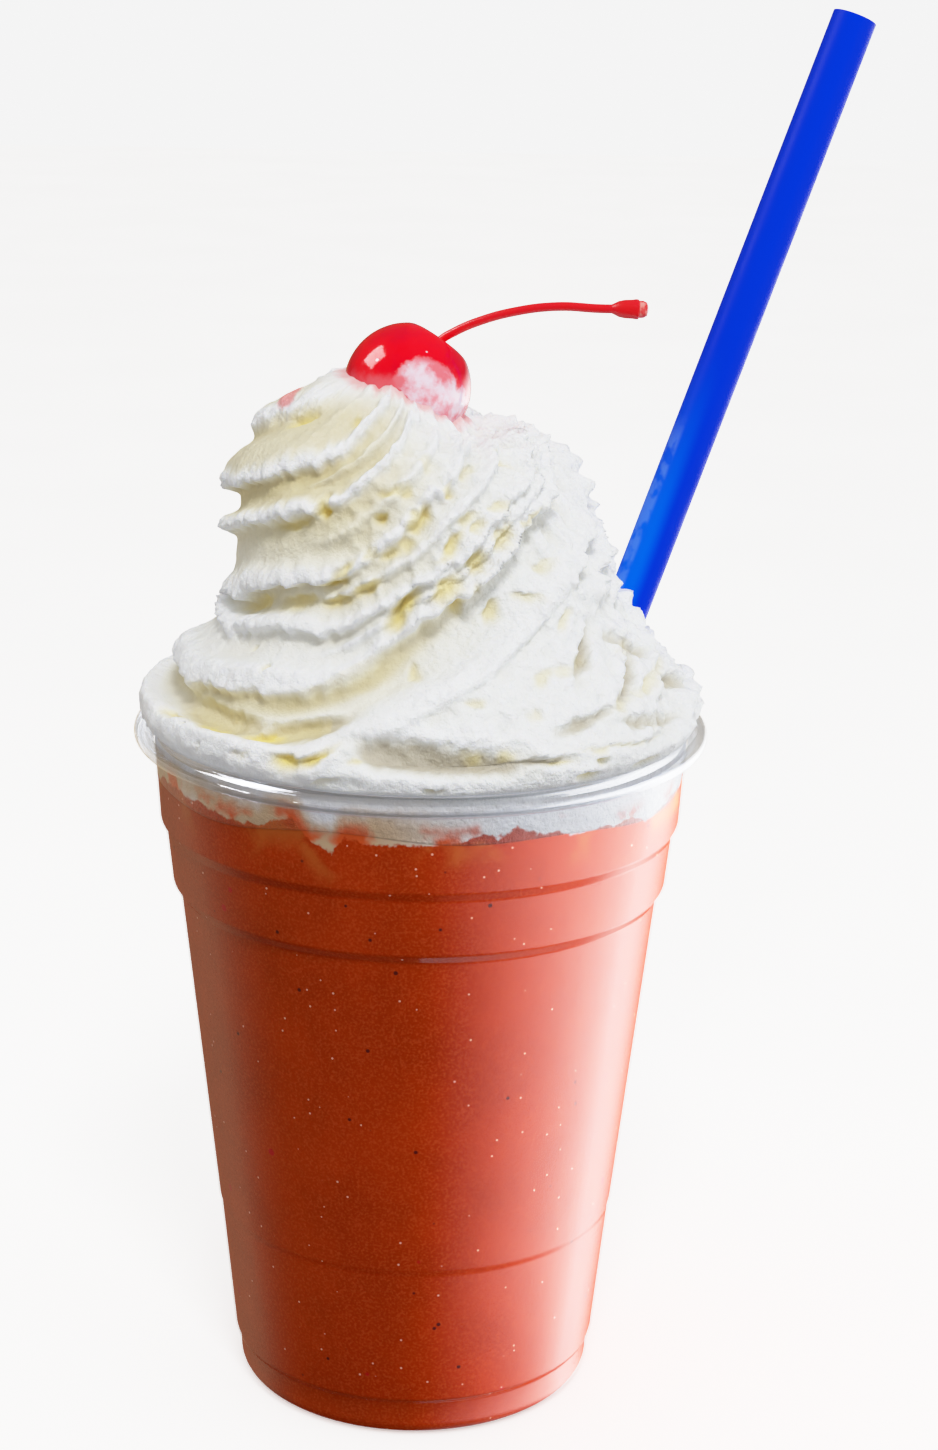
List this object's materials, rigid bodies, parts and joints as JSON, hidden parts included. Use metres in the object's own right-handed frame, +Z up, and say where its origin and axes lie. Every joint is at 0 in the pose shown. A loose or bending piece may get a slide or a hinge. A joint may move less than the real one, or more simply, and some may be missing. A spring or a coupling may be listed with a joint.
{
  "type": "fruit smoothie",
  "caption": "Fruit smoothie in a clear tapered plastic cup, topped with a piped swirl of whipped cream and a cherry on its stem, with a leaning drinking straw.",
  "frame": {"origin": "centre of the cup's flat underside", "axes": "+Z up along the cup's axis, -Y towards the side that the picture shows, +X to that side's right, where the straw leans"},
  "size_m": [0.124, 0.0978, 0.2388],
  "materials": {
    "cup": "clear thermoformed plastic sheet, glossy, with a rolled lip and faint forming lines",
    "drink": "thick blended berry drink, coral to brick red, with fine paler and darker specks",
    "cream": "piped whipped cream, warm white, smooth in the flutes and torn along the ridges",
    "cherry": "preserved cherry, translucent bright red and wet, on a darker red stem",
    "straw": "extruded blue plastic, satin gloss, slightly translucent"
  },
  "bodies": {
    "root": {"cup": "cup", "drink": "drink", "cream": "cream", "cherry": "cherry", "straw": "straw"}
  },
  "joints": []
}
